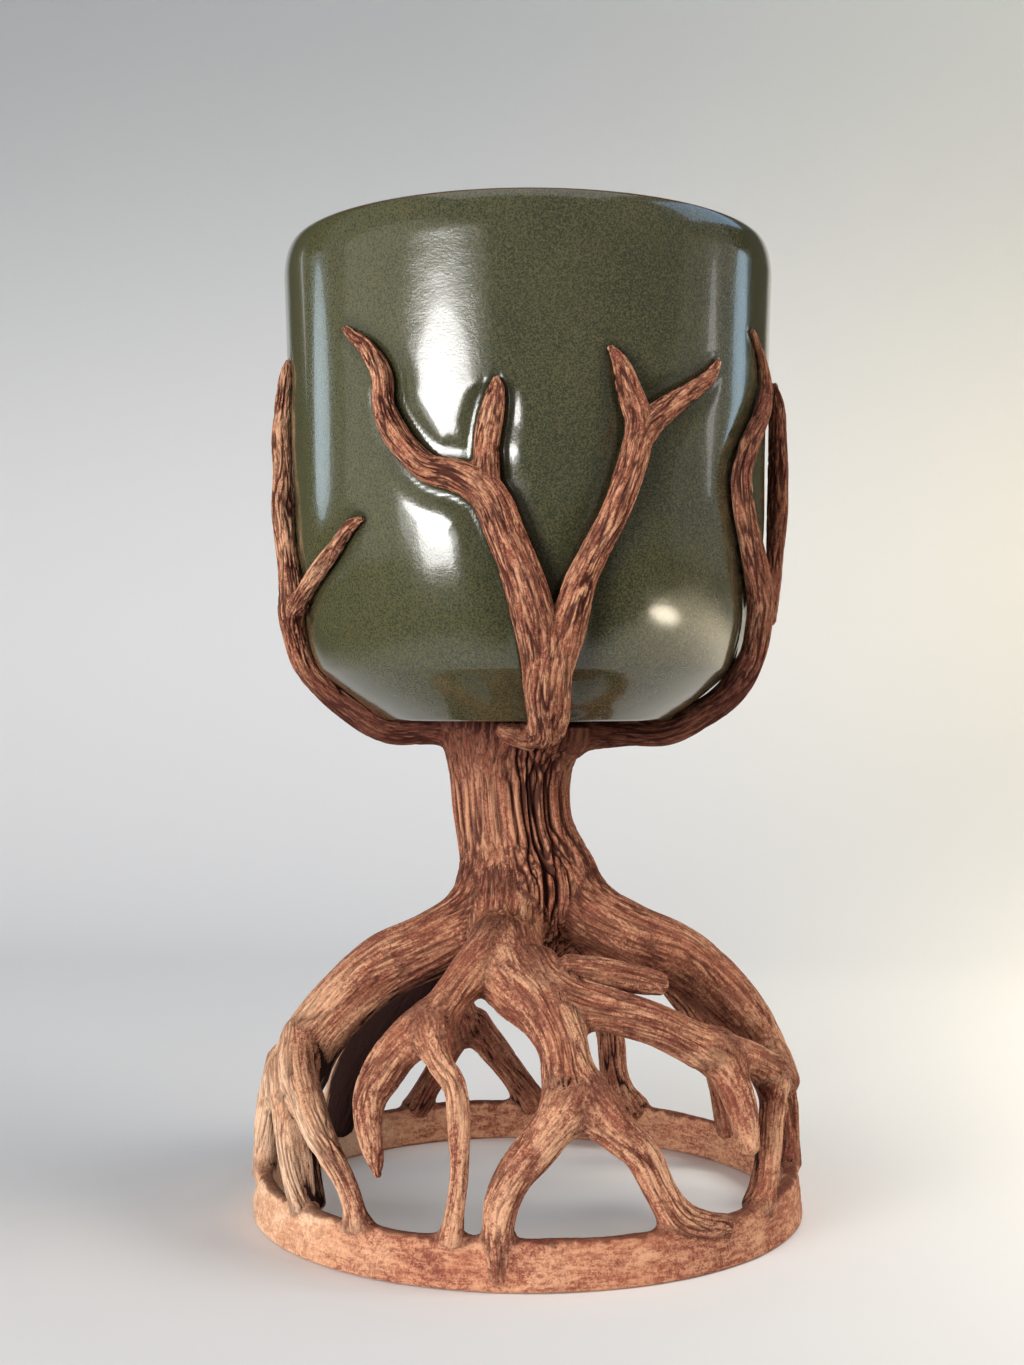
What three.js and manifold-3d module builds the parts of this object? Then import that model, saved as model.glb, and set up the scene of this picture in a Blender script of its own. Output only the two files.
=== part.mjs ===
// A stoneware chalice. A glazed cup sits in the branches of a small clay tree, whose trunk is the
// stem and whose roots arch out and down to a flat foot ring. Millimetres, +Z up, the origin under
// the middle of the foot ring, and the front towards -Y.
//
// Every piece of clay is made by itself and luted to the ones before it, so each is its own body
// here, cut back from its neighbours by the joint gap.

import * as THREE from 'three';
import { mergeVertices } from 'three/addons/utils/BufferGeometryUtils.js';
import Module from 'manifold-3d';

// Luted joints
const jointGap = 0.3;

// Foot ring: a flat band of clay bent into a circle, a little narrower at its top
const ringRadius = 51.7;
const ringHeight = 8.2;
const ringWall = 3.9;
const ringLean = 1.3;
const ringEdge = 0.7;

// Trunk
const trunkFootHeight = 61;
const trunkLength = 30.2;
const trunkFootRadius = 13;
const trunkWaistRadius = 10.6;
const trunkTopRadius = 14.6;
const trunkSway = 3.5;
const trunkTurn = 0.02;
const trunkRootDepth = 17;
const barkRidge = 0.05;

// Cup: thrown, with a bevelled base and a round lip
const cupHeight = 88.5;
const cupBellyRadius = 45;
const cupMouthRadius = 46.1;
const cupFootRadius = 27.2;
const cupBevelRadius = 39.8;
const cupBevelHeight = 9.2;
const cupShoulderHeight = 38.5;
const bevelHollow = 5.4;
const bevelRise = 0.44;
const bellyHollow = 0.5;
const bellyRise = 0.267;
const mouthHollow = 1;
const cupWall = 3.7;
const cupFloor = 5;
const floorRounding = 1;
const lipWidth = 2.9;

// Rolled limbs of clay: the thickness of a middling root and of a middling branch
const rootGirth = 10;
const branchGirth = 5;

// Where the clay limbs lie: how far a limb's middle stands off the surface that it follows, as a
// share of its own thickness
const branchProud = 0.25;
const leftBranchProud = 0.3;
const rightBranchProud = 0.36;
const outerTwigProud = 0.5;
const curlProud = 0.75;
const rootProud = -0.5;
const rightRootProud = -0.4;
const innerLegProud = -1.05;
const stubProud = -0.3;

// Facets
const limbSides = 8;
const limbStep = 5;
const trunkSides = 24;
const trunkRidges = 8;
const turnSides = 60;
const curveSteps = 5;
const lipSteps = 4;

// Colours of the fired clay and of the glaze
const glazeColour = 0x4f5840;
const trunkColour = 0x8f543f;
const branchColour = 0xa5684c;
const rootColour = 0xa9694c;
const ringColour = 0xc08a66;

const cupBase = trunkFootHeight + trunkLength + jointGap;

const wasm = await Module();
wasm.setup();

// Plain helpers: closed bodies from rings of points, and cuts between them

function toSolid(geometry) {
  const bare = geometry.clone();
  for (const name of ['normal', 'uv']) bare.deleteAttribute(name);
  const merged = mergeVertices(bare, 1e-4);
  const corners = merged.index.array;
  const triangles = [];
  for (let i = 0; i < corners.length; i += 3) {
    const [a, b, c] = [corners[i], corners[i + 1], corners[i + 2]];
    if (a !== b && b !== c && c !== a) triangles.push(a, b, c);
  }
  return new wasm.Manifold(new wasm.Mesh({
    numProp: 3,
    vertProperties: new Float32Array(merged.attributes.position.array),
    triVerts: new Uint32Array(triangles),
  }));
}

function toGeometry(body) {
  const mesh = body.getMesh();
  const geometry = new THREE.BufferGeometry();
  geometry.setAttribute('position', new THREE.BufferAttribute(mesh.vertProperties, 3));
  geometry.setIndex(new THREE.BufferAttribute(mesh.triVerts, 1));
  geometry.computeVertexNormals();
  return geometry;
}

// A body through rings of points, closed at each end by a fan to one point
function loft(rings, startPoint, endPoint) {
  const sides = rings[0].length;
  const points = [startPoint, ...rings.flat(), endPoint];
  const last = points.length - 1;
  const at = (ring, side) => 1 + ring * sides + (side % sides);
  const triangles = [];
  for (let side = 0; side < sides; side++) {
    triangles.push(0, at(0, side + 1), at(0, side));
    triangles.push(last, at(rings.length - 1, side), at(rings.length - 1, side + 1));
    for (let ring = 0; ring + 1 < rings.length; ring++) {
      triangles.push(at(ring, side), at(ring, side + 1), at(ring + 1, side + 1));
      triangles.push(at(ring, side), at(ring + 1, side + 1), at(ring + 1, side));
    }
  }
  const geometry = new THREE.BufferGeometry().setFromPoints(points);
  geometry.setIndex(triangles);
  return toSolid(geometry);
}

function turned(profile) {
  const geometry = new THREE.LatheGeometry(profile, turnSides);
  geometry.rotateX(Math.PI / 2);
  return toSolid(geometry);
}

// What is left of a body beside its neighbours, without the crumbs that a cut leaves
function cutBy(body, neighbours) {
  const left = neighbours.reduce((rest, neighbour) => rest.subtract(neighbour), body);
  const bodies = left.decompose();
  return bodies.reduce((a, b) => (b.volume() > a.volume() ? b : a));
}

// The surfaces that the limbs follow, as outlines of radius and height

const cupOutline = new THREE.Path();
cupOutline.moveTo(0, cupBase);
cupOutline.lineTo(cupFootRadius, cupBase);
cupOutline.quadraticCurveTo(
  cupBevelRadius - bevelHollow, cupBase + cupBevelHeight * bevelRise,
  cupBevelRadius, cupBase + cupBevelHeight);
cupOutline.quadraticCurveTo(
  cupBellyRadius - bellyHollow, cupBase + THREE.MathUtils.lerp(cupBevelHeight, cupShoulderHeight, bellyRise),
  cupBellyRadius, cupBase + cupShoulderHeight);
cupOutline.quadraticCurveTo(
  cupMouthRadius - mouthHollow, cupBase + (cupShoulderHeight + cupHeight) / 2,
  cupMouthRadius, cupBase + cupHeight - lipWidth / 2);

// Shares of the way from the trunk out to the ring, and from the table up to the trunk's foot
const rootArch = [
  [0, 1], [0.155, 0.934], [0.39, 0.869], [0.633, 0.75], [0.8, 0.623],
  [0.904, 0.5], [0.969, 0.37], [0.997, 0.21], [1, 0],
];
const rootOutline = new THREE.SplineCurve(rootArch.map(([out, up]) => new THREE.Vector2(
  THREE.MathUtils.lerp(trunkFootRadius, ringRadius, out), trunkFootHeight * up)));

// A place beside an outline: the point, and the direction away from the vessel's inside
function placeOn(outline, azimuth, share) {
  const point = outline.getPointAt(share);
  const along = outline.getTangentAt(share);
  const turn = THREE.MathUtils.degToRad(azimuth);
  const outward = new THREE.Vector3(Math.sin(turn), -Math.cos(turn), 0);
  const up = new THREE.Vector3(0, 0, 1);
  const position = outward.clone().multiplyScalar(point.x).addScaledVector(up, point.y);
  const away = outward.clone().multiplyScalar(along.y).addScaledVector(up, -along.x);
  if (outline === rootOutline) away.negate();
  return { position, away: away.normalize() };
}

// A rolled limb of clay that follows an outline. Its route is a list of azimuth in degrees from
// the front, share of the way along the outline, and thickness as a share of its kind's girth.
// swell makes the fatter copy that its neighbours are cut by.
function limb(outline, route, proud, swell = 0) {
  const girth = outline === rootOutline ? rootGirth : branchGirth;
  const places = route.map(([azimuth, share, fullness]) => {
    const thickness = girth * fullness;
    const { position, away } = placeOn(outline, azimuth, share);
    return { middle: position.addScaledVector(away, proud * thickness), away, thickness };
  });
  const path = new THREE.CatmullRomCurve3(places.map((place) => place.middle));
  const rings = [];
  const ends = [];
  for (let span = 0; span + 1 < places.length; span++) {
    const [from, to] = [places[span], places[span + 1]];
    const isLast = span + 2 === places.length;
    const steps = Math.max(1, Math.round(from.middle.distanceTo(to.middle) / limbStep));
    for (let step = 0; step < steps + (isLast ? 1 : 0); step++) {
      const share = step / steps;
      const t = (span + share) / (places.length - 1);
      const middle = path.getPoint(t);
      const along = path.getTangent(t);
      const side = from.away.clone().lerp(to.away, share).cross(along).normalize();
      const out = along.clone().cross(side);
      const radius = THREE.MathUtils.lerp(from.thickness, to.thickness, share) / 2 + swell;
      const ring = [];
      for (let k = 0; k < limbSides; k++) {
        const angle = (2 * Math.PI * k) / limbSides;
        const bark = radius * (1 + (k % 2 ? -barkRidge : barkRidge));
        ring.push(middle.clone()
          .addScaledVector(side, bark * Math.cos(angle))
          .addScaledVector(out, bark * Math.sin(angle)));
      }
      rings.push(ring);
      ends.push({ middle, along, radius });
    }
  }
  const first = ends[0];
  const last = ends[ends.length - 1];
  return loft(rings,
    first.middle.clone().addScaledVector(first.along, -first.radius * 0.6),
    last.middle.clone().addScaledVector(last.along, last.radius * 0.6));
}

const chalice = new THREE.Group();
const fitted = [];

function addPiece(name, body, colour, roughness) {
  const material = new THREE.MeshStandardMaterial({ color: colour, roughness, metalness: 0 });
  const mesh = new THREE.Mesh(toGeometry(body), material);
  mesh.name = name;
  chalice.add(mesh);
}

// Lutes a limb on: it is cut by every piece before it, and later ones are cut by its fatter copy
function addLimb(name, outline, route, proud, colour) {
  const body = cutBy(limb(outline, route, proud), fitted);
  fitted.push(limb(outline, route, proud, jointGap));
  addPiece(name, body, colour, 0.9);
}

const addBranch = (name, route, proud = branchProud) =>
  addLimb(name, cupOutline, route, proud, branchColour);
const addRoot = (name, route, proud = rootProud) =>
  addLimb(name, rootOutline, route, proud, rootColour);

// Cup
function cupProfile(swell) {
  const outside = cupOutline.getPoints(curveSteps).map((point) => point.clone());
  const mouth = cupBase + cupHeight;
  const lipMiddle = new THREE.Vector2(cupMouthRadius - lipWidth / 2, mouth - lipWidth / 2);
  const profile = [...outside];
  for (let k = 1; k <= lipSteps; k++) {
    const angle = (Math.PI * k) / lipSteps;
    profile.push(new THREE.Vector2(
      lipMiddle.x + (lipWidth / 2) * Math.cos(angle),
      lipMiddle.y + (lipWidth / 2) * Math.sin(angle)));
  }
  if (swell > 0) return swollenCup(outside, mouth, swell);
  const inside = new THREE.Path();
  inside.moveTo(cupMouthRadius - cupWall, mouth - lipWidth * 2);
  inside.lineTo(cupBellyRadius - cupWall, cupBase + cupShoulderHeight);
  inside.bezierCurveTo(
    cupBellyRadius - cupWall - floorRounding, cupBase + cupBevelHeight + cupFloor,
    cupBevelRadius - cupWall, cupBase + cupFloor,
    cupFootRadius - cupWall, cupBase + cupFloor);
  inside.lineTo(0, cupBase + cupFloor);
  return [...profile, ...inside.getPoints(curveSteps)];
}

// The space that the cup takes up, with the joint gap round it and no hollow
function swollenCup(outside, mouth, swell) {
  const grown = outside.map((point) => new THREE.Vector2(point.x + swell, point.y));
  grown[0].x = 0;
  grown[0].y -= swell;
  grown[1].y -= swell;
  return [...grown, new THREE.Vector2(cupMouthRadius + swell, mouth), new THREE.Vector2(0, mouth)];
}

fitted.push(turned(cupProfile(jointGap)));
addPiece('cup', turned(cupProfile(0)), glazeColour, 0.15);

// Trunk: it sways to the left above its foot, and flares at both ends
function trunkBody(swell) {
  const stations = [
    [-trunkRootDepth, 0, trunkFootRadius * 0.2],
    [-trunkRootDepth * 0.9, 0, trunkFootRadius * 0.5],
    [-trunkRootDepth * 0.7, 0, trunkFootRadius * 0.69],
    [-trunkRootDepth * 0.35, 0, trunkFootRadius * 0.88],
    [0, 0, trunkFootRadius],
    [trunkLength * 0.13, -0.25 * trunkSway, (trunkFootRadius + trunkWaistRadius) / 2],
    [trunkLength * 0.28, -0.6 * trunkSway, trunkWaistRadius * 1.03],
    [trunkLength * 0.46, -trunkSway, trunkWaistRadius],
    [trunkLength * 0.64, -trunkSway, trunkWaistRadius * 1.05],
    [trunkLength * 0.8, -0.9 * trunkSway, (trunkTopRadius + trunkWaistRadius) / 2],
    [trunkLength * 0.92, -0.75 * trunkSway, trunkTopRadius],
    [trunkLength, -0.7 * trunkSway, trunkTopRadius * 0.98],
  ];
  const rings = stations.map(([height, shift, radius]) => {
    const ring = [];
    for (let k = 0; k < trunkSides; k++) {
      const angle = (2 * Math.PI * k) / trunkSides + height * trunkTurn;
      const bark = 1 + barkRidge * Math.cos((2 * Math.PI * trunkRidges * k) / trunkSides);
      ring.push(new THREE.Vector3(
        shift + (radius * bark + swell) * Math.cos(angle),
        (radius * bark + swell) * Math.sin(angle),
        trunkFootHeight + height));
    }
    return ring;
  });
  const bottom = new THREE.Vector3(0, 0, trunkFootHeight - trunkRootDepth - swell);
  const top = new THREE.Vector3(-0.7 * trunkSway, 0, trunkFootHeight + trunkLength);
  return loft(rings, bottom, top);
}

addPiece('trunk', trunkBody(0), trunkColour, 0.9);
fitted.push(trunkBody(jointGap));

// Foot ring, with a notch where the front leg runs down over its face
const frontLegRoute = [
  [9.5, 0.59, 0.8], [5, 0.655, 0.74], [1, 0.71, 0.68], [-3, 0.765, 0.62], [-5.4, 0.825, 0.58],
  [-6, 0.88, 0.5], [-6, 0.94, 0.34], [-6, 0.975, 0.3],
];

function ringProfile(swell) {
  const slope = ringLean / ringHeight;
  const [inner, outer] = [ringRadius - ringWall - swell, ringRadius + swell];
  const top = ringHeight + swell;
  return [
    new THREE.Vector2(inner, 0),
    new THREE.Vector2(outer, 0),
    new THREE.Vector2(outer - (top - ringEdge) * slope, top - ringEdge),
    new THREE.Vector2(outer - top * slope - ringEdge, top),
    new THREE.Vector2(inner + ringEdge, top),
    new THREE.Vector2(inner, top - ringEdge),
    new THREE.Vector2(inner, 0),
  ];
}

const frontLegSpace = limb(rootOutline, frontLegRoute, rootProud, jointGap);
addPiece('foot_ring', cutBy(turned(ringProfile(0)), [frontLegSpace]), ringColour, 0.95);

// Front roots
addRoot('front_root', [
  [-20, 0, 1.1], [-14, 0.1, 1.3], [-8, 0.19, 1.34], [-3, 0.28, 1.2], [5, 0.39, 0.94],
  [8, 0.47, 0.86], [9, 0.54, 0.88], [10.5, 0.6, 0.9],
]);
addRoot('front_root_left_leg', frontLegRoute);

fitted.push(turned(ringProfile(jointGap)));

addRoot('front_root_right_leg', [
  [11.5, 0.6, 0.8], [17, 0.665, 0.74], [22.4, 0.73, 0.64], [26, 0.81, 0.58], [29.5, 0.868, 0.6],
  [35, 0.9, 0.5], [41, 0.915, 0.34],
]);
addRoot('front_left_root', [
  [-15, 0.13, 0.8], [-18, 0.21, 0.78], [-21, 0.28, 0.76], [-24, 0.37, 0.69], [-27, 0.435, 0.66],
]);
addRoot('front_left_root_tine', [
  [-26, 0.42, 0.68], [-32, 0.487, 0.74], [-35, 0.56, 0.72], [-36, 0.62, 0.62], [-34.5, 0.685, 0.5],
  [-32.3, 0.735, 0.38], [-30.6, 0.768, 0.25], [-29.9, 0.784, 0.14],
]);
addRoot('front_left_root_leg', [
  [-26, 0.43, 0.58], [-21, 0.515, 0.48], [-15.5, 0.587, 0.39], [-14, 0.678, 0.35],
  [-13.5, 0.766, 0.3], [-14, 0.825, 0.3], [-15, 0.9, 0.38],
]);
addRoot('front_right_root', [
  [2, 0.24, 0.9], [6, 0.31, 0.86], [13, 0.356, 0.79], [23, 0.39, 0.75], [33, 0.43, 0.75],
  [43, 0.49, 0.72], [52, 0.535, 0.68], [61, 0.57, 0.6], [70, 0.62, 0.54], [78, 0.68, 0.5],
]);
addRoot('front_right_stub', [
  [12, 0.28, 0.5], [20, 0.292, 0.5], [29, 0.314, 0.48], [36, 0.336, 0.46], [40, 0.352, 0.4],
], stubProud);
addRoot('front_right_root_tine', [
  [48, 0.52, 0.64], [50, 0.56, 0.64], [51.2, 0.61, 0.62], [51.4, 0.67, 0.55], [50.8, 0.72, 0.46],
  [50, 0.765, 0.3],
]);

// Left roots
addRoot('left_root', [
  [-60, 0, 1.15], [-66, 0.12, 1.2], [-72, 0.265, 1.2], [-74, 0.4, 1.16], [-76, 0.52, 1.12],
  [-76, 0.62, 1.06], [-75, 0.7, 0.96],
]);
addRoot('left_root_outer_leg', [
  [-80, 0.62, 0.6], [-84, 0.72, 0.54], [-85, 0.79, 0.48], [-86, 0.86, 0.44], [-84, 0.91, 0.4],
]);
addRoot('left_root_middle_leg', [
  [-72, 0.62, 0.44], [-67, 0.675, 0.54], [-61.5, 0.74, 0.42], [-58, 0.79, 0.32], [-55, 0.845, 0.28],
  [-52, 0.9, 0.32],
]);
addRoot('left_root_front_leg', [
  [-73, 0.53, 0.4], [-67.5, 0.585, 0.56], [-61, 0.635, 0.64], [-55, 0.675, 0.6], [-49.5, 0.72, 0.54],
  [-43.5, 0.768, 0.46], [-38.5, 0.815, 0.38], [-36, 0.865, 0.36], [-35.5, 0.9, 0.42],
]);
addRoot('left_root_inner_leg', [
  [-72, 0.62, 0.6], [-65, 0.7, 0.54], [-58, 0.78, 0.46], [-55, 0.84, 0.44], [-53, 0.9, 0.44],
], innerLegProud);
addRoot('left_back_root', [
  [-138, 0.02, 0.9], [-141, 0.2, 0.84], [-146, 0.37, 0.84], [-145, 0.5, 0.92], [-138.5, 0.62, 1.02],
  [-132.5, 0.72, 0.98], [-128.5, 0.8, 0.9], [-125.6, 0.9, 0.72],
]);

// Right roots
addRoot('right_root', [
  [62, 0, 1.15], [72, 0.12, 1.2], [80, 0.26, 1.2], [82, 0.4, 1.14], [82, 0.52, 0.94],
  [80, 0.6, 0.8], [78, 0.68, 0.74],
], rightRootProud);
addRoot('right_root_front_leg', [
  [76, 0.6, 0.6], [67, 0.69, 0.52], [61, 0.755, 0.48], [57.5, 0.82, 0.46], [55.5, 0.875, 0.5],
  [54, 0.905, 0.54],
]);
addRoot('right_root_outer_leg', [
  [84, 0.64, 0.46], [88, 0.74, 0.38], [89, 0.82, 0.36], [88, 0.9, 0.4],
]);
addRoot('right_back_root', [
  [122, 0.02, 0.9], [128, 0.2, 0.86], [131, 0.4, 0.76], [129, 0.55, 0.66], [126, 0.67, 0.6],
  [124, 0.78, 0.6], [121, 0.9, 0.6],
]);

// Back roots
addRoot('back_right_root', [
  [156, 0.02, 0.9], [159, 0.2, 0.82], [158.5, 0.4, 0.72], [157.5, 0.58, 0.62], [157.5, 0.72, 0.6],
  [157, 0.81, 0.62], [155, 0.87, 0.72], [152, 0.905, 0.78],
]);
addRoot('back_left_root', [
  [-172, 0.02, 0.9], [-167, 0.2, 0.84], [-161, 0.4, 0.76], [-160, 0.55, 0.7], [-163, 0.66, 0.68],
]);
addRoot('back_left_root_left_leg', [
  [-163, 0.66, 0.6], [-160, 0.74, 0.56], [-156, 0.82, 0.54], [-151, 0.9, 0.52],
]);
addRoot('back_left_root_right_leg', [
  [-166, 0.66, 0.66], [-171, 0.735, 0.65], [-177, 0.825, 0.6], [-182, 0.9, 0.62],
]);

// Front branches
addBranch('front_branch_stem', [
  [5, 0.12, 1.2], [6, 0.19, 1.32], [6, 0.25, 1.42], [4.8, 0.305, 1.55], [4, 0.35, 1.68],
  [4.3, 0.385, 1.5], [4.7, 0.415, 1.1], [4.9, 0.435, 0.6],
]);
addBranch('front_left_branch', [
  [2.6, 0.35, 1.2], [1.8, 0.395, 1.42], [0.4, 0.438, 1.46], [-1.2, 0.477, 1.38], [-4.5, 0.53, 1.3],
  [-9, 0.595, 1.26], [-15, 0.62, 1.12], [-22, 0.633, 0.94], [-29, 0.68, 0.9], [-32, 0.725, 0.76],
  [-32.5, 0.76, 0.7], [-36, 0.8, 0.6], [-41, 0.826, 0.4], [-44, 0.84, 0.2],
]);
addBranch('front_left_twig', [
  [-9, 0.6, 1], [-9, 0.66, 0.84], [-8, 0.7, 0.82], [-7, 0.735, 0.56], [-7, 0.75, 0.24],
]);
addBranch('front_right_branch', [
  [6, 0.35, 1.1], [7.4, 0.395, 1.24], [8.8, 0.438, 1.2], [10.4, 0.475, 1.08], [13.4, 0.515, 1],
  [17, 0.56, 0.94], [19.5, 0.6, 0.96], [22, 0.65, 1], [23, 0.694, 0.92], [21, 0.735, 0.8],
  [19, 0.776, 0.52], [17, 0.795, 0.2],
]);
addBranch('front_right_twig', [
  [23, 0.67, 1], [26, 0.697, 0.94], [31, 0.722, 0.82], [37, 0.746, 0.64], [42, 0.768, 0.48],
  [45.5, 0.793, 0.2],
]);
addBranch('front_curl', [
  [1, 0.195, 0.86], [-5, 0.2, 0.74], [-9, 0.205, 0.6], [-12, 0.207, 0.4],
], curlProud);

// Side branches, from the trunk out under the cup and up its sides
addBranch('left_branch', [
  [-86, 0.07, 1.3], [-86, 0.15, 1.2], [-85, 0.215, 1.16], [-84, 0.27, 1.04], [-84, 0.32, 0.94],
  [-84, 0.37, 0.9], [-80, 0.43, 0.96], [-72, 0.475, 0.96], [-75, 0.53, 0.8], [-77, 0.6, 0.86],
  [-80, 0.66, 0.74], [-82, 0.72, 0.78], [-79, 0.77, 0.6], [-75, 0.81, 0.44], [-75, 0.826, 0.2],
], leftBranchProud);
addBranch('left_twig', [
  [-70, 0.455, 0.8], [-64, 0.472, 0.66], [-56, 0.498, 0.6], [-49, 0.525, 0.54], [-42.5, 0.56, 0.46],
  [-39, 0.568, 0.2],
]);
addBranch('right_branch', [
  [84, 0.07, 1.36], [84, 0.15, 1.2], [84, 0.215, 1.16], [83, 0.27, 1.16], [76, 0.33, 1.12],
  [71, 0.386, 1], [69, 0.43, 0.96], [66, 0.472, 1], [61, 0.512, 0.92], [57, 0.553, 0.8],
  [54, 0.595, 0.72], [53, 0.635, 0.7], [56.5, 0.68, 0.7], [63, 0.728, 0.64], [67.5, 0.775, 0.52],
  [66, 0.815, 0.36], [60, 0.853, 0.2],
], rightBranchProud);
addBranch('right_twig', [
  [70, 0.44, 0.92], [76, 0.475, 0.72], [80, 0.51, 0.68], [82, 0.56, 0.72], [82.5, 0.61, 0.8],
  [82.5, 0.67, 0.8], [82.5, 0.72, 0.72], [82.5, 0.765, 0.6], [81, 0.795, 0.32],
], outerTwigProud);

// Back branches
addBranch('back_branch_stem', [
  [182, 0.12, 1.2], [181, 0.19, 1.32], [180, 0.25, 1.4], [179, 0.31, 1.52], [178, 0.38, 1.72],
  [177, 0.44, 1.6],
]);
addBranch('back_left_branch', [
  [178, 0.42, 1.2], [184, 0.47, 1.16], [191, 0.53, 1.08], [197, 0.6, 1], [201, 0.66, 0.84],
  [199, 0.72, 0.68], [203, 0.78, 0.48], [206, 0.81, 0.2],
]);
addBranch('back_left_twig', [
  [198, 0.62, 0.84], [208, 0.65, 0.72], [216, 0.685, 0.56], [222, 0.72, 0.2],
]);
addBranch('back_right_branch', [
  [176, 0.43, 1.2], [170, 0.48, 1.04], [165, 0.545, 0.96], [158, 0.59, 0.84], [150, 0.625, 0.72],
  [143, 0.68, 0.6], [140, 0.74, 0.48], [136, 0.775, 0.2],
]);
addBranch('back_right_twig', [
  [160, 0.58, 0.8], [163, 0.63, 0.68], [161, 0.68, 0.56], [163, 0.72, 0.2],
]);

export default chalice;
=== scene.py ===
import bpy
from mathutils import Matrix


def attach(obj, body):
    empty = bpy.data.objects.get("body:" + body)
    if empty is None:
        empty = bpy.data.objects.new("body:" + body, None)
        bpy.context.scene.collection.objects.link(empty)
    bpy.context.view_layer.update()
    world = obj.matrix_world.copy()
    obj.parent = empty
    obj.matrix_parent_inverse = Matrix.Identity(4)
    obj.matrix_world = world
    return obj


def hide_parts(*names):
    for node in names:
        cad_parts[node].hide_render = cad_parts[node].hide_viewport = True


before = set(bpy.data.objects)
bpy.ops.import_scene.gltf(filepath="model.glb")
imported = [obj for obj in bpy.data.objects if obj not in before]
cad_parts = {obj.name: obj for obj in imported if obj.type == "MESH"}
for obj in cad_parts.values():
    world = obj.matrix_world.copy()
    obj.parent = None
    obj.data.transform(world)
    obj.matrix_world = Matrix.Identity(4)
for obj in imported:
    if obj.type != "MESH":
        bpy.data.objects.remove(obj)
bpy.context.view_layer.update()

from math import atan2, ceil, cos, pi, radians, sin

import bpy
import numpy as np

# Camera: where the photographer stood, a little above the middle of the chalice, looking level.
# A phone's main lens at arm's length, so the near side of the foot ring looks wider.
camera_lens = 46.34
camera_place = (-0.002976, -0.33378, 0.09616)
camera_tilt = 0.0070

camera = bpy.data.cameras.new("camera")
camera.lens = camera_lens
camera.sensor_width = 36
camera.clip_start = 0.01
photographer = bpy.data.objects.new("camera", camera)
photographer.location = camera_place
photographer.rotation_euler = (pi / 2 + camera_tilt, 0, 0)
bpy.context.scene.collection.objects.link(photographer)
bpy.context.scene.camera = photographer


# Clay of the tree: unglazed red-brown stoneware. It is darkest in the carved grooves, and the roots
# and the foot ring are rubbed with a pale buff slip that stays on the high places. Light and shade
# are painted into it too: painted shade on the roots' inner sides, in the creases between limbs and
# under the cup, and painted light on the left side.
class Wire:
    """A shader socket, on which sums and products add Math nodes."""

    def __init__(self, tree, socket=None):
        self.tree = tree
        self.socket = socket

    def node(self, kind, settings=None, inputs=None, output=0):
        made = self.tree.nodes.new(kind)
        for name, value in (settings or {}).items():
            if name == "stops":
                ramp = made.color_ramp
                while len(ramp.elements) < len(value):
                    ramp.elements.new(1)
                for element, (place, colour) in zip(ramp.elements, value):
                    element.position, element.color = place, colour
            else:
                setattr(made, name, value)
        self.feed(made, inputs or {})
        return Wire(self.tree, made.outputs[output])

    def feed(self, node, inputs):
        """Set a node's inputs, each to a value or to what comes out of another node."""
        for name, value in inputs.items():
            if isinstance(value, Wire):
                self.tree.links.new(value.socket, node.inputs[name])
            else:
                node.inputs[name].default_value = value

    def math(self, operation, *values):
        return self.node("ShaderNodeMath", {"operation": operation}, dict(enumerate(values)))

    def __add__(self, other):
        return self.math("ADD", self, other)

    def __mul__(self, other):
        return self.math("MULTIPLY", self, other)

    def __sub__(self, other):
        return self.math("SUBTRACT", self, other)

    def __rsub__(self, other):
        return self.math("SUBTRACT", other, self)

    __radd__ = __add__
    __rmul__ = __mul__

    def between(self, low, high):
        """0 at low, 1 at high, with a soft start and end."""
        return self.node("ShaderNodeMapRange", {"interpolation_type": "SMOOTHSTEP"},
                         {"Value": self, "From Min": low, "From Max": high})

    def noise(self, place, scale, detail=2, roughness=0.5):
        return self.node("ShaderNodeTexNoise", None,
                         {"Vector": place, "Scale": scale, "Detail": detail, "Roughness": roughness})

    def axes(self, place):
        return [self.node("ShaderNodeSeparateXYZ", None, {"Vector": place}, output=k)
                for k in range(3)]

    def attribute(self, name):
        return self.node("ShaderNodeAttribute", {"attribute_name": name}, output=2)

    def blend(self, share, first, second):
        return self.node("ShaderNodeMix", {"data_type": "RGBA"},
                         {"Factor": share, 6: first, 7: second}, output=2)


def new_finish(name):
    """A material, its shader, a wire that adds nodes to it, and the place on the piece."""
    material = bpy.data.materials.new(name)
    material.use_nodes = True
    wire = Wire(material.node_tree)
    return (material, wire.tree.nodes["Principled BSDF"], wire,
            wire.node("ShaderNodeTexCoord", output=3))


def fired(red, green, blue):
    """A colour as it is seen, 0 to 255 a channel, turned into the light that a shader mixes."""
    share = [value / 255 for value in (red, green, blue)]
    return [v / 12.92 if v <= 0.04045 else ((v + 0.055) / 1.055) ** 2.4 for v in share] + [1]


red_brown = fired(168, 104, 78)
light_brown = fired(212, 155, 121)
# The groove browns are also used for painted shade: in the creases between limbs and, darkest, on the
# roots' inner sides.
groove_and_shade_brown = fired(70, 35, 29)
deep_groove_and_shade_brown = fired(36, 17, 14)
purple_brown = fired(130, 70, 57)
dark_purple = fired(96, 52, 42)
buff = fired(221, 170, 134)
pale_buff = fired(238, 204, 173)
trunk_carved, trunk_lined = 0.9, 0.42


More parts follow.
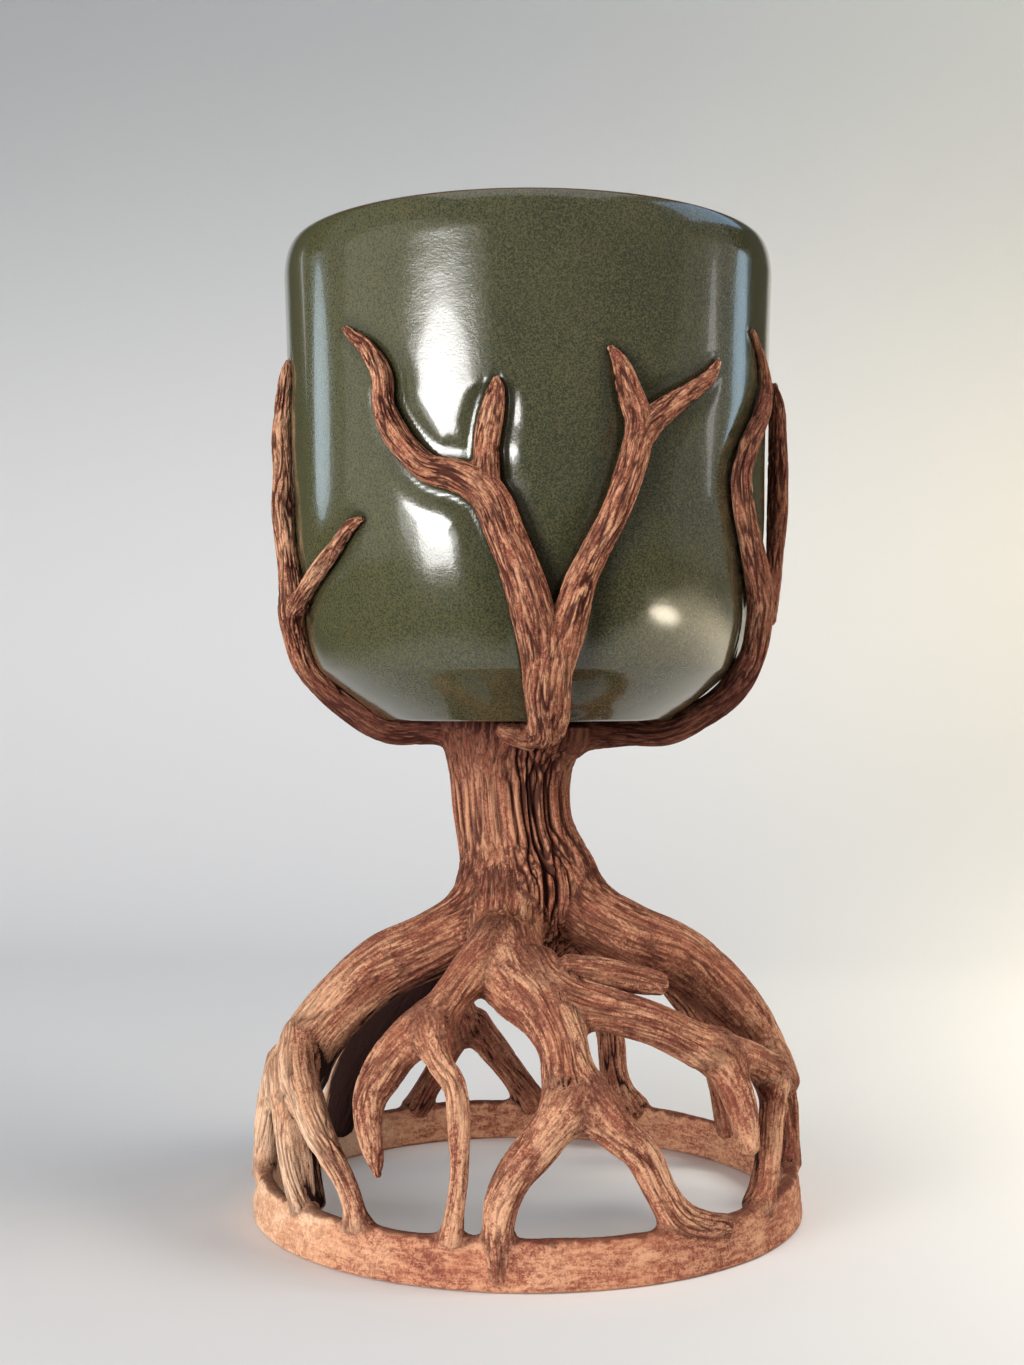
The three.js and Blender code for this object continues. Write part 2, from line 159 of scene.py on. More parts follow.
def clay_finish(name, slip, carved, lined=0.5, dusting=0, patchy=0.7, edge=0.5, sunlit=0.85):
    """Bare clay: slip is how much buff stays low down, dusting how much there is all over, patchy
    and edge how it gathers. Carved and lined darken the bark, and sunlit lightens the rest."""
    material, shader, clay, place = new_finish(name)
    side, back, height = clay.axes(place)
    groove, streak, crest = (clay.attribute(kind) for kind in ("groove", "streak", "crest"))
    grain = clay.node("ShaderNodeAttribute", {"attribute_name": "grain"}, output=1)
    hairs = clay.noise(grain, 1.5, 3, 0.65)
    needle = 1 - clay.math("ABSOLUTE", clay.noise(grain, 0.8, 3, 0.6) - 0.5).between(0.004, 0.04)
    patches = clay.noise(place, 110, 3, 0.6)
    grains = clay.noise(place, 1300, 2, 0.7)
    grit = clay.noise(place, 3400, 1)
    fleck = grains * 0.6 + grit * 0.4
    sand = clay.noise(place, 2300, 2, 0.7)
    low_down = 1 - height.between(0.012, 0.064)
    by_trunk = height.between(0.046, 0.068)
    carved = by_trunk * (trunk_carved - carved) + carved
    lined = by_trunk * (max(trunk_lined, lined) - lined) + lined
    # Painted light: the left side, where the window light falls, is painted paler with buff, low down
    # and high up by the cup.
    painted_left_light = 1 - side.between(-0.042, -0.022)
    # Painted shade under the cup: the trunk's top is painted darker purple, over its own purple-brown,
    # and the right side by the cup's foot is painted darker too.
    purple_and_shade_under_cup = height.between(0.074, 0.089) * (1 - height.between(0.093, 0.106))
    purple_and_shade_under_cup = purple_and_shade_under_cup * back.between(-0.030, -0.022)
    shaded = side.between(0.03, 0.044) * height.between(0.088, 0.1)

    ruddy = (patches * 0.6 + fleck * 0.6 + hairs * 0.3).between(0.6, 0.88)
    body = clay.blend(ruddy, purple_brown, red_brown)
    lit = streak * 0.4 + hairs * 1.2 + fleck * 0.8
    body = clay.blend(lit.between(1.08, 1.4) * sunlit, body, light_brown)
    rubbed = crest * 0.42 + streak * 0.2 + hairs * 0.8 + patches * patchy + fleck * 1.5 + low_down * slip
    rubbed = rubbed + painted_left_light * (low_down * 0.6 + height.between(0.1, 0.13) * 0.4) + dusting
    body = clay.blend(rubbed.between(2.2 - edge / 2, 2.2 + edge / 2) * 0.85, body, buff)
    body = clay.blend(rubbed.between(2.45, 2.8) * 0.7, body, pale_buff)
    body = clay.blend(sand.between(0.5, 0.64) * (sunlit * 0.47), body, light_brown)
    body = clay.blend(purple_and_shade_under_cup * 0.8 + shaded * 0.5, body, dark_purple)
    body = clay.blend(needle * lined, body, groove_and_shade_brown)
    cut = (groove + hairs * 0.5 - 0.25).between(0.06, 0.7)
    # Groove brown goes in the carved grooves and in the painted shade of the creases and the roots'
    # inner sides.
    body = clay.blend(cut * carved, body, groove_and_shade_brown)
    # Painted shade: the darkest brown goes in the deepest grooves and on the roots' inner sides.
    body = clay.blend(groove.between(0.8, 1.3), body, deep_groove_and_shade_brown)

    relief = grains * 0.4 + grit * 0.4 + hairs * 0.8 - needle * lined
    surface = clay.node("ShaderNodeBump", None, {"Strength": 0.8, "Distance": 0.0004, "Height": relief})
    clay.feed(shader, {
        "Base Color": body, "Roughness": 0.88, "Specular IOR Level": 0.15, "Normal": surface})
    return material


# Rolled limbs: each root and branch is a tapered roll of clay, laid along the tree's outline.
# A limb's route is a list of azimuth from the front in degrees, share of the way along the
# outline, and thickness as a share of its kind's girth. All sizes here are millimetres.
mm = 0.001
root_girth = 10
branch_girth = 5
ring_radius, ring_height, ring_wall, ring_lean = 51.7, 8.2, 3.9, 1.3
trunk_foot_height, trunk_foot_radius = 61, 13
cup_base = 91.5
around_step = 0.22
along_step = 0.42
cap_rings = 6
fewest_sides, most_sides = 24, 320
thinnest_radius = 0.35
easings = 120


def spline(points, steps, power):
    """Points along a Catmull-Rom curve: power 0 is uniform and 0.5 centripetal."""
    points = np.array(points, float)
    if power:
        ends = [2 * points[0] - points[1]], [2 * points[-1] - points[-2]]
    else:
        ends = [points[0]], [points[-1]]
    held = np.vstack([ends[0], points, ends[1]])
    made = []
    for span, count in enumerate(steps):
        p0, p1, p2, p3 = held[span:span + 4]
        gap = [max(np.linalg.norm((b - a)[:3]), 1e-6) ** power
               for a, b in ((p0, p1), (p1, p2), (p2, p3))]
        leave = ((p1 - p0) / gap[0] - (p2 - p0) / (gap[0] + gap[1]) + (p2 - p1) / gap[1]) * gap[1]
        reach = ((p2 - p1) / gap[1] - (p3 - p1) / (gap[1] + gap[2]) + (p3 - p2) / gap[2]) * gap[1]
        t = (np.arange(count) / count)[:, None]
        made.append(p1 + leave * t + (3 * (p2 - p1) - 2 * leave - reach) * t ** 2
                    + (2 * (p1 - p2) + leave + reach) * t ** 3)
    return np.vstack(made + [points[-1:]])


def evenly(line):
    """The same line as 2000 points, evenly spaced, with its tangents."""
    run = np.r_[0, np.cumsum(np.hypot(*np.diff(line, axis=0).T))]
    share = np.linspace(0, 1, 2000)
    even = np.stack([np.interp(share * run[-1], run, column) for column in line.T], 1)
    along = np.gradient(even, axis=0)
    return even, along / np.hypot(*along.T)[:, None]


root_arch = [(0, 1), (0.155, 0.934), (0.39, 0.869), (0.633, 0.75), (0.8, 0.623),
             (0.904, 0.5), (0.969, 0.37), (0.997, 0.21), (1, 0)]
root_outline = evenly(spline(
    [(trunk_foot_radius + out * (ring_radius - trunk_foot_radius), trunk_foot_height * up)
     for out, up in root_arch], [60] * 8, 0))


def heading(azimuth):
    return np.array([sin(radians(azimuth)), -cos(radians(azimuth)), 0])


def place_on(outline, azimuth, share):
    """A place beside an outline, and the direction away from the vessel's inside."""
    line, along = outline
    index = np.clip(share, 0, 1) * (len(line) - 1)
    radius, height = (np.interp(index, np.arange(len(line)), line[:, k]) for k in (0, 1))
    across, up = (np.interp(index, np.arange(len(line)), along[:, k]) for k in (0, 1))
    outward = heading(azimuth)
    upright = np.array([0, 0, 1])
    away = outward * up - upright * across
    if outline is root_outline:
        away = -away
    return outward * radius + upright * height, away / np.linalg.norm(away)


def rolling_tree():
    """Geometry nodes that sweep a circle along a line, as thick as the line's girth."""
    tree = bpy.data.node_groups.new("rolled_clay", "GeometryNodeTree")
    tree.interface.new_socket("Geometry", in_out="INPUT", socket_type="NodeSocketGeometry")
    sides = tree.interface.new_socket("Sides", in_out="INPUT", socket_type="NodeSocketInt")
    clay = tree.interface.new_socket("Clay", in_out="INPUT", socket_type="NodeSocketMaterial")
    tree.interface.new_socket("Geometry", in_out="OUTPUT", socket_type="NodeSocketGeometry")
    given = tree.nodes.new("NodeGroupInput")
    line = tree.nodes.new("GeometryNodeMeshToCurve")
    girth = tree.nodes.new("GeometryNodeInputNamedAttribute")
    girth.data_type = "FLOAT"
    girth.inputs["Name"].default_value = "girth"
    circle = tree.nodes.new("GeometryNodeCurvePrimitiveCircle")
    circle.inputs["Radius"].default_value = mm
    sweep = tree.nodes.new("GeometryNodeCurveToMesh")
    sweep.inputs["Fill Caps"].default_value = True
    real = tree.nodes.new("GeometryNodeRealizeInstances")
    finish = tree.nodes.new("GeometryNodeSetMaterial")
    result = tree.nodes.new("NodeGroupOutput")
    for start, end in (
            (given.outputs["Geometry"], line.inputs["Mesh"]),
            (line.outputs["Curve"], sweep.inputs["Curve"]),
            (given.outputs["Sides"], circle.inputs["Resolution"]),
            (circle.outputs["Curve"], sweep.inputs["Profile Curve"]),
            (girth.outputs["Attribute"], sweep.inputs["Scale"]),
            (sweep.outputs["Mesh"], real.inputs["Geometry"]),
            (real.outputs["Geometry"], finish.inputs["Geometry"]),
            (given.outputs["Clay"], finish.inputs["Material"]),
            (finish.outputs["Geometry"], result.inputs["Geometry"])):
        tree.links.new(start, end)
    return tree, sides.identifier, clay.identifier


rolling, sides_socket, clay_socket = rolling_tree()


def mark(mesh, name, values):
    """Give each corner of a mesh a number or a vector, which is kept under a name."""
    kind, field = ("FLOAT", "value") if values.ndim == 1 else ("FLOAT_VECTOR", "vector")
    mesh.attributes.new(name, kind, "POINT").data.foreach_set(field, values.ravel())


def add_piece(name, mesh, slot, *nodes):
    piece = bpy.data.objects.new(name, mesh)
    bpy.context.scene.collection.objects.link(piece)
    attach(piece, "root")
    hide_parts(*nodes)
    return piece


class Roll:
    """A roll of clay: its middle line, its radius, and the directions across it at each step.

    Bark is the width, length and depth of its ridges. Blunt is how far its ends bulge, in radii.
    """

    def __init__(self, name, middle, radius, away, bark, blunt=0.6):
        self.name = name
        self.middle = middle
        self.radius = radius
        self.bark = bark
        self.blunt = blunt
        along = np.gradient(middle, axis=0)
        self.along = along / np.linalg.norm(along, axis=1)[:, None]
        side = np.cross(away, self.along)
        self.side = side / np.linalg.norm(side, axis=1)[:, None]
        self.out = np.cross(self.along, self.side)
        self.run = np.r_[0, np.cumsum(np.linalg.norm(np.diff(middle, axis=0), axis=1))]
        self.taper = np.gradient(radius, self.run)
        self.low = (middle - radius[:, None]).min(0)
        self.high = (middle + radius[:, None]).max(0)

    def sweep(self, material):
        """A closed mesh round the roll, in which each corner keeps the middle that it faces."""
        turns = np.linspace(pi / 2, 0, cap_rings, endpoint=False)
        start = [(self.middle[0] - self.along[0] * self.radius[0] * sin(t) * self.blunt,
                  self.radius[0] * max(cos(t), 0.03), self.middle[0]) for t in turns]
        end = [(self.middle[-1] + self.along[-1] * self.radius[-1] * sin(t) * self.blunt,
                self.radius[-1] * max(cos(t), 0.03), self.middle[-1]) for t in turns[::-1]]
        points = np.vstack([[p for p, _, _ in start], self.middle, [p for p, _, _ in end]])
        girth = np.r_[[g for _, g, _ in start], self.radius, [g for _, g, _ in end]]
        heart = np.vstack([[h for _, _, h in start], self.middle, [h for _, _, h in end]])
        line = bpy.data.meshes.new("route")
        line.from_pydata(points * mm, [(i, i + 1) for i in range(len(points) - 1)], [])
        mark(line, "girth", girth)
        mark(line, "heart", heart)
        route = bpy.data.objects.new("route", line)
        bpy.context.scene.collection.objects.link(route)
        modifier = route.modifiers.new("rolling", "NODES")
        modifier.node_group = rolling
        sides = max(fewest_sides, 2 * ceil(pi * self.radius.max() / around_step))
        modifier[sides_socket] = min(sides, most_sides)
        modifier[clay_socket] = material
        seen = route.evaluated_get(bpy.context.evaluated_depsgraph_get())
        mesh = bpy.data.meshes.new_from_object(seen)
        bpy.data.objects.remove(route)
        return mesh

    def measure(self, points):
        """How far points are from the roll's face, and their place in its own bark."""
        nearest = ((self.middle ** 2).sum(1) - 2 * points @ self.middle.T).argmin(1)
        offset = points - self.middle[nearest]
        past = (offset * self.along[nearest]).sum(1)
        lead = np.clip(past, np.where(nearest == 0, 0, -along_step),
                       np.where(nearest == len(self.middle) - 1, 0, along_step))
        sideways = offset - self.along[nearest] * past[:, None]
        radius = self.radius[nearest] + self.taper[nearest] * lead
        gap = np.hypot(np.linalg.norm(sideways, axis=1), (past - lead) / self.blunt) - radius
        return gap, np.stack([
            (sideways * self.side[nearest]).sum(1), (sideways * self.out[nearest]).sum(1),
            self.run[nearest] + lead, radius], 1)


rolls = {}
shaped = {}


def add_limb(name, outline, route, proud, bark, material, slot, lead=()):
    """A limb along an outline: proud is how far its middle stands off it, in thicknesses."""
    girth = root_girth if outline is root_outline else branch_girth
    stations, aways = [station for station, _ in lead], [away for _, away in lead]
    for azimuth, share, fullness in route:
        position, away = place_on(outline, azimuth, share)
        thickness = girth * fullness
        stations.append([*(position + away * proud * thickness), thickness / 2])
        aways.append(away)
    gaps = [np.linalg.norm(np.subtract(b, a)[:3]) for a, b in zip(stations, stations[1:])]
    steps = [max(2, round(gap / along_step)) for gap in gaps]
    line = spline(stations, steps, 0.5)
    bend = sum(steps[:len(lead) + 1])
    for _ in range(easings if lead else 0):
        line[1:bend] = (line[:bend - 1] + 2 * line[1:bend] + line[2:bend + 1]) / 4
    where = np.concatenate([k + np.arange(n) / n for k, n in enumerate(steps)] + [[len(steps)]])
    away = np.stack([np.interp(where, np.arange(len(aways)), column)
                     for column in np.array(aways).T], 1)
    roll = Roll(name, line[:, :3], np.maximum(line[:, 3], thinnest_radius), away, bark)
    rolls[name] = roll
    shaped[name] = add_piece(name + "_clay", roll.sweep(material), slot, name)


# Trunk: a thick column of clay under the cup, which sways to the left and flares at both ends.
# It has the deepest bark, cut with a knife, and its darkest clefts run down right of the middle.
trunk_sway = 3.5
trunk_bark, trunk_end = (1.9, 60, 0.85), 0.05
trunk_stations = [
    (-17, 0, 2.6), (-15.3, 0, 6.5), (-11.9, 0, 9), (-6, 0, 11.5), (0, 0, 13), (3.9, -0.25, 11.8),
    (8.5, -0.6, 10.9), (13.9, -0.85, 11), (19.3, -0.93, 11.3), (24.2, -0.9, 12.6), (27.8, -0.75, 14.4),
    (30, -0.7, 14.5)]
trunk_clay = clay_finish(
    "trunk_clay", slip=0.45, carved=trunk_carved, lined=trunk_lined, dusting=0.04, patchy=0.5)
trunk_line = spline([(trunk_sway * shift, 0, trunk_foot_height + height, radius)
                     for height, shift, radius in trunk_stations],
                    [max(2, round((b[0] - a[0]) / along_step))
                     for a, b in zip(trunk_stations, trunk_stations[1:])], 0.5)
rolls["trunk"] = Roll("trunk", trunk_line[:, :3], trunk_line[:, 3],
                      np.tile([0, -1, 0], (len(trunk_line), 1)), trunk_bark, trunk_end)
shaped["trunk"] = add_piece("trunk_clay", rolls["trunk"].sweep(trunk_clay), "dark_clay", "trunk")


# Roots: rolls that leave the trunk's foot, arch out and down, fork, and stand on the foot ring.
# Their bark is shallower than the trunk's, and two tines at the front end in free points.
root_clay = clay_finish("root_clay", slip=0.21, carved=0.5, lined=0.16, dusting=0.06, sunlit=0.5)
root_bark = (1.1, 15, 0.36)
root_rise = [(18, 0.45), (11, 0.68), (5, 0.88)]
root_tuck, tuck_rise = 0.25, 0.12


def trunk_run(azimuth, thickness):
    """Where a main root's clay runs up the trunk: inside its face, and thinner towards the top."""
    outward = heading(azimuth)
    lead = []
    for rise, share in root_rise:
        height = trunk_foot_height + rise
        middle = [np.interp(height, trunk_line[:, 2], trunk_line[:, k]) for k in (0, 1, 2)]
        radius = np.interp(height, trunk_line[:, 2], trunk_line[:, 3])
        girth = thickness * share
        depth = girth / 2 + root_tuck + tuck_rise * rise
        lead.append(([*(middle + outward * (radius - depth)), girth / 2], outward))
    return lead


def add_root(name, route, proud=-0.5):
    azimuth, share, fullness = route[0]
    lead = trunk_run(azimuth, root_girth * fullness) if share <= 0.02 else ()
    add_limb(name, root_outline, route, proud, root_bark, root_clay, "root_clay", lead)


add_root("front_root", [
    (-20, 0, 1.1), (-14, 0.1, 1.3), (-8, 0.19, 1.34), (-3, 0.28, 1.2), (5, 0.39, 0.94), (8, 0.47, 0.86),
    (9, 0.54, 0.88), (10.5, 0.6, 0.9)])
add_root("front_root_left_leg", [
    (9.5, 0.59, 0.8), (5, 0.655, 0.74), (1, 0.71, 0.68), (-3, 0.765, 0.62), (-5.4, 0.825, 0.58),
    (-6, 0.88, 0.5), (-6, 0.94, 0.34), (-6, 0.975, 0.3)])
add_root("front_root_right_leg", [
    (11.5, 0.6, 0.8), (17, 0.665, 0.74), (22.4, 0.73, 0.64), (26, 0.81, 0.58), (29.5, 0.868, 0.6),
    (35, 0.9, 0.5), (41, 0.915, 0.34)])
add_root("front_left_root", [
    (-15, 0.13, 0.8), (-18, 0.21, 0.78), (-21, 0.28, 0.76), (-24, 0.37, 0.69), (-27, 0.435, 0.66)])
add_root("front_left_root_tine", [
    (-26, 0.42, 0.68), (-32, 0.487, 0.74), (-35, 0.56, 0.72), (-36, 0.62, 0.62), (-34.5, 0.685, 0.5),
    (-32.3, 0.735, 0.38), (-30.6, 0.768, 0.25), (-29.9, 0.784, 0.14)])
add_root("front_left_root_leg", [
    (-26, 0.43, 0.58), (-21, 0.515, 0.48), (-15.5, 0.587, 0.39), (-14, 0.678, 0.35), (-13.5, 0.766, 0.3),
    (-14, 0.825, 0.3), (-15, 0.9, 0.38)])
add_root("front_right_root", [
    (2, 0.24, 0.9), (6, 0.31, 0.86), (13, 0.356, 0.79), (23, 0.39, 0.75), (33, 0.43, 0.75),
    (43, 0.49, 0.72), (52, 0.535, 0.68), (61, 0.57, 0.6), (70, 0.62, 0.54), (78, 0.68, 0.5)])
add_root("front_right_stub", [
    (12, 0.28, 0.5), (20, 0.292, 0.5), (29, 0.314, 0.48), (36, 0.336, 0.46), (40, 0.352, 0.4)], -0.3)
add_root("front_right_root_tine", [
    (48, 0.52, 0.64), (50, 0.56, 0.64), (51.2, 0.61, 0.62), (51.4, 0.67, 0.55), (50.8, 0.72, 0.46),
    (50, 0.765, 0.3)])
add_root("left_root", [
    (-60, 0, 1.15), (-66, 0.12, 1.2), (-72, 0.265, 1.2), (-74, 0.4, 1.16), (-76, 0.52, 1.12),
    (-76, 0.62, 1.06), (-75, 0.7, 0.96)])
add_root("left_root_outer_leg", [
    (-80, 0.62, 0.6), (-84, 0.72, 0.54), (-85, 0.79, 0.48), (-86, 0.86, 0.44), (-84, 0.91, 0.4)])
add_root("left_root_middle_leg", [
    (-72, 0.62, 0.44), (-67, 0.675, 0.54), (-61.5, 0.74, 0.42), (-58, 0.79, 0.32), (-55, 0.845, 0.28),
    (-52, 0.9, 0.32)])
add_root("left_root_front_leg", [
    (-73, 0.53, 0.4), (-67.5, 0.585, 0.56), (-61, 0.635, 0.64), (-55, 0.675, 0.6), (-49.5, 0.72, 0.54),
    (-43.5, 0.768, 0.46), (-38.5, 0.815, 0.38), (-36, 0.865, 0.36), (-35.5, 0.9, 0.42)])
add_root("left_root_inner_leg", [
    (-72, 0.62, 0.6), (-65, 0.7, 0.54), (-58, 0.78, 0.46), (-55, 0.84, 0.44), (-53, 0.9, 0.44)], -1.05)
add_root("left_back_root", [
    (-138, 0.02, 0.9), (-141, 0.2, 0.84), (-146, 0.37, 0.84), (-145, 0.5, 0.92), (-138.5, 0.62, 1.02),
    (-132.5, 0.72, 0.98), (-128.5, 0.8, 0.9), (-125.6, 0.9, 0.72)])
add_root("right_root", [
    (62, 0, 1.15), (72, 0.12, 1.2), (80, 0.26, 1.2), (82, 0.4, 1.14), (82, 0.52, 0.94), (80, 0.6, 0.8),
    (78, 0.68, 0.74)], -0.4)
add_root("right_root_front_leg", [
    (76, 0.6, 0.6), (67, 0.69, 0.52), (61, 0.755, 0.48), (57.5, 0.82, 0.46), (55.5, 0.875, 0.5),
    (54, 0.905, 0.54)])
add_root("right_root_outer_leg", [
    (84, 0.64, 0.46), (88, 0.74, 0.38), (89, 0.82, 0.36), (88, 0.9, 0.4)])
add_root("right_back_root", [
    (122, 0.02, 0.9), (128, 0.2, 0.86), (131, 0.4, 0.76), (129, 0.55, 0.66), (126, 0.67, 0.6),
    (124, 0.78, 0.6), (121, 0.9, 0.6)])
add_root("back_right_root", [
    (156, 0.02, 0.9), (159, 0.2, 0.82), (158.5, 0.4, 0.72), (157.5, 0.58, 0.62), (157.5, 0.72, 0.6),
    (157, 0.81, 0.62), (155, 0.87, 0.72), (152, 0.905, 0.78)])
add_root("back_left_root", [
    (-172, 0.02, 0.9), (-167, 0.2, 0.84), (-161, 0.4, 0.76), (-160, 0.55, 0.7), (-163, 0.66, 0.68)])
add_root("back_left_root_left_leg", [
    (-163, 0.66, 0.6), (-160, 0.74, 0.56), (-156, 0.82, 0.54), (-151, 0.9, 0.52)])
add_root("back_left_root_right_leg", [
    (-166, 0.66, 0.66), (-171, 0.735, 0.65), (-177, 0.825, 0.6), (-182, 0.9, 0.62)])


# Cup: thrown on the wheel, with a bevelled base, a nearly straight wall and a round lip. It has a
# glossy olive glaze inside and out, which gathers along the branches that are pressed into it.
cup_height = 88.5
cup_belly_radius, cup_mouth_radius, cup_foot_radius = 45, 46.1, 27.2
cup_bevel_radius, cup_bevel_height, cup_shoulder_height = 39.8, 9.2, 38.5
cup_wall, cup_floor, lip_width = 3.7, 5, 2.9
bevel_hollow, bevel_rise, belly_hollow, belly_rise, mouth_hollow = 5.4, 0.44, 0.5, 0.267, 1


def bend(start, pull, end, count=80):
    """Points along a curve from start to end that leans towards pull."""
    t = np.linspace(0, 1, count)[:, None]
    start, pull, end = (np.array(point, float) for point in (start, pull, end))
    return (1 - t) ** 2 * start + 2 * t * (1 - t) * pull + t ** 2 * end


cup_line = np.vstack([
    [(0, 0)],
    bend((cup_foot_radius, 0), (cup_bevel_radius - bevel_hollow, cup_bevel_height * bevel_rise),
         (cup_bevel_radius, cup_bevel_height)),
    bend((cup_bevel_radius, cup_bevel_height),
         (cup_belly_radius - belly_hollow,
          cup_bevel_height + belly_rise * (cup_shoulder_height - cup_bevel_height)),
         (cup_belly_radius, cup_shoulder_height))[1:],
    bend((cup_belly_radius, cup_shoulder_height),
         (cup_mouth_radius - mouth_hollow, (cup_shoulder_height + cup_height) / 2),
         (cup_mouth_radius, cup_height - lip_width / 2))[1:]]) + [0, cup_base]
cup_outline = evenly(cup_line)


# Branches: thinner rolls that climb the cup from the trunk's top, pressed into its soft wall, and
# end in points below the lip. Their bark is a net of fine lengthwise cuts.
branch_clay = clay_finish("branch_clay", slip=0.45, carved=0.9, lined=0.55, dusting=0.12)
branch_bark = (1.0, 12, 0.42)


def add_branch(name, route, proud=0.25):
    add_limb(name, cup_outline, route, proud, branch_bark, branch_clay, "branch_clay")


add_branch("front_branch_stem", [
    (5, 0.12, 1.2), (6, 0.19, 1.32), (6, 0.25, 1.42), (4.8, 0.305, 1.55), (4, 0.35, 1.68),
    (4.3, 0.385, 1.5), (4.7, 0.415, 1.1), (4.9, 0.435, 0.6)])
add_branch("front_left_branch", [
    (2.6, 0.35, 1.2), (1.8, 0.395, 1.42), (0.4, 0.438, 1.46), (-1.2, 0.477, 1.38), (-4.5, 0.53, 1.3),
    (-9, 0.595, 1.26), (-15, 0.62, 1.12), (-22, 0.633, 0.94), (-29, 0.68, 0.9), (-32, 0.725, 0.76),
    (-32.5, 0.76, 0.7), (-36, 0.8, 0.6), (-41, 0.826, 0.4), (-44, 0.84, 0.2)])
add_branch("front_left_twig", [
    (-9, 0.6, 1), (-9, 0.66, 0.84), (-8, 0.7, 0.82), (-7, 0.735, 0.56), (-7, 0.75, 0.24)])
add_branch("front_right_branch", [
    (6, 0.35, 1.1), (7.4, 0.395, 1.24), (8.8, 0.438, 1.2), (10.4, 0.475, 1.08), (13.4, 0.515, 1),
    (17, 0.56, 0.94), (19.5, 0.6, 0.96), (22, 0.65, 1), (23, 0.694, 0.92), (21, 0.735, 0.8),
    (19, 0.776, 0.52), (17, 0.795, 0.2)])
add_branch("front_right_twig", [
    (23, 0.67, 1), (26, 0.697, 0.94), (31, 0.722, 0.82), (37, 0.746, 0.64), (42, 0.768, 0.48),
    (45.5, 0.793, 0.2)])
add_branch("front_curl", [
    (1, 0.195, 0.86), (-5, 0.2, 0.74), (-9, 0.205, 0.6), (-12, 0.207, 0.4)], 0.75)
add_branch("left_branch", [
    (-86, 0.07, 1.3), (-86, 0.15, 1.2), (-85, 0.215, 1.16), (-84, 0.27, 1.04), (-84, 0.32, 0.94),
    (-84, 0.37, 0.9), (-80, 0.43, 0.96), (-72, 0.475, 0.96), (-75, 0.53, 0.8), (-77, 0.6, 0.86),
    (-80, 0.66, 0.74), (-82, 0.72, 0.78), (-79, 0.77, 0.6), (-75, 0.81, 0.44), (-75, 0.826, 0.2)], 0.3)
add_branch("left_twig", [
    (-70, 0.455, 0.8), (-64, 0.472, 0.66), (-56, 0.498, 0.6), (-49, 0.525, 0.54), (-42.5, 0.56, 0.46),
    (-39, 0.568, 0.2)])
add_branch("right_branch", [
    (84, 0.07, 1.36), (84, 0.15, 1.2), (84, 0.215, 1.16), (83, 0.27, 1.16), (76, 0.33, 1.12),
    (71, 0.386, 1), (69, 0.43, 0.96), (66, 0.472, 1), (61, 0.512, 0.92), (57, 0.553, 0.8),
    (54, 0.595, 0.72), (53, 0.635, 0.7), (56.5, 0.68, 0.7), (63, 0.728, 0.64), (67.5, 0.775, 0.52),
    (66, 0.815, 0.36), (60, 0.853, 0.2)], 0.36)
add_branch("right_twig", [
    (70, 0.44, 0.92), (76, 0.475, 0.72), (80, 0.51, 0.68), (82, 0.56, 0.72), (82.5, 0.61, 0.8),
    (82.5, 0.67, 0.8), (82.5, 0.72, 0.72), (82.5, 0.765, 0.6), (81, 0.795, 0.32)], 0.5)
add_branch("back_branch_stem", [
    (182, 0.12, 1.2), (181, 0.19, 1.32), (180, 0.25, 1.4), (179, 0.31, 1.52), (178, 0.38, 1.72),
    (177, 0.44, 1.6)])
add_branch("back_left_branch", [
    (178, 0.42, 1.2), (184, 0.47, 1.16), (191, 0.53, 1.08), (197, 0.6, 1), (201, 0.66, 0.84),
    (199, 0.72, 0.68), (203, 0.78, 0.48), (206, 0.81, 0.2)])
add_branch("back_left_twig", [
    (198, 0.62, 0.84), (208, 0.65, 0.72), (216, 0.685, 0.56), (222, 0.72, 0.2)])
add_branch("back_right_branch", [
    (176, 0.43, 1.2), (170, 0.48, 1.04), (165, 0.545, 0.96), (158, 0.59, 0.84), (150, 0.625, 0.72),
    (143, 0.68, 0.6), (140, 0.74, 0.48), (136, 0.775, 0.2)])
add_branch("back_right_twig", [
    (160, 0.58, 0.8), (163, 0.63, 0.68), (161, 0.68, 0.56), (163, 0.72, 0.2)])


# Foot ring: a flat band of clay bent into a circle, a little narrower at its top. It is the palest
# piece, smoothed with a wet sponge, and its underside stands flat on the table.
ring_columns = 900
ring_step = 0.42
ring_clay = clay_finish(
    "ring_clay", slip=0.16, carved=0.7, lined=0, dusting=0.06, patchy=0.5, edge=0.9, sunlit=0.5)


class Band:
    """The foot ring's clay, with the same measure as a roll's."""

    name = "foot_ring"
    bark = (1.6, 6, 0.1)
    edge = 0.45
    radius = np.array([ring_height / 2])
    low = np.array([-ring_radius, -ring_radius, 0])
    high = np.array([ring_radius, ring_radius, ring_height])

    def measure(self, points):
        radius = np.hypot(points[:, 0], points[:, 1])
        height = points[:, 2]
        faces = np.stack([
            radius - ring_radius + ring_lean * height / ring_height,
            ring_radius - ring_wall - radius, height - ring_height, -height])
        gap = self.edge * np.log(np.exp(np.clip(faces / self.edge, -60, 60)).sum(0))
        turn = np.arctan2(points[:, 1], points[:, 0])
        return gap, np.stack([radius, height, turn * ring_radius, 0 * turn], 1)


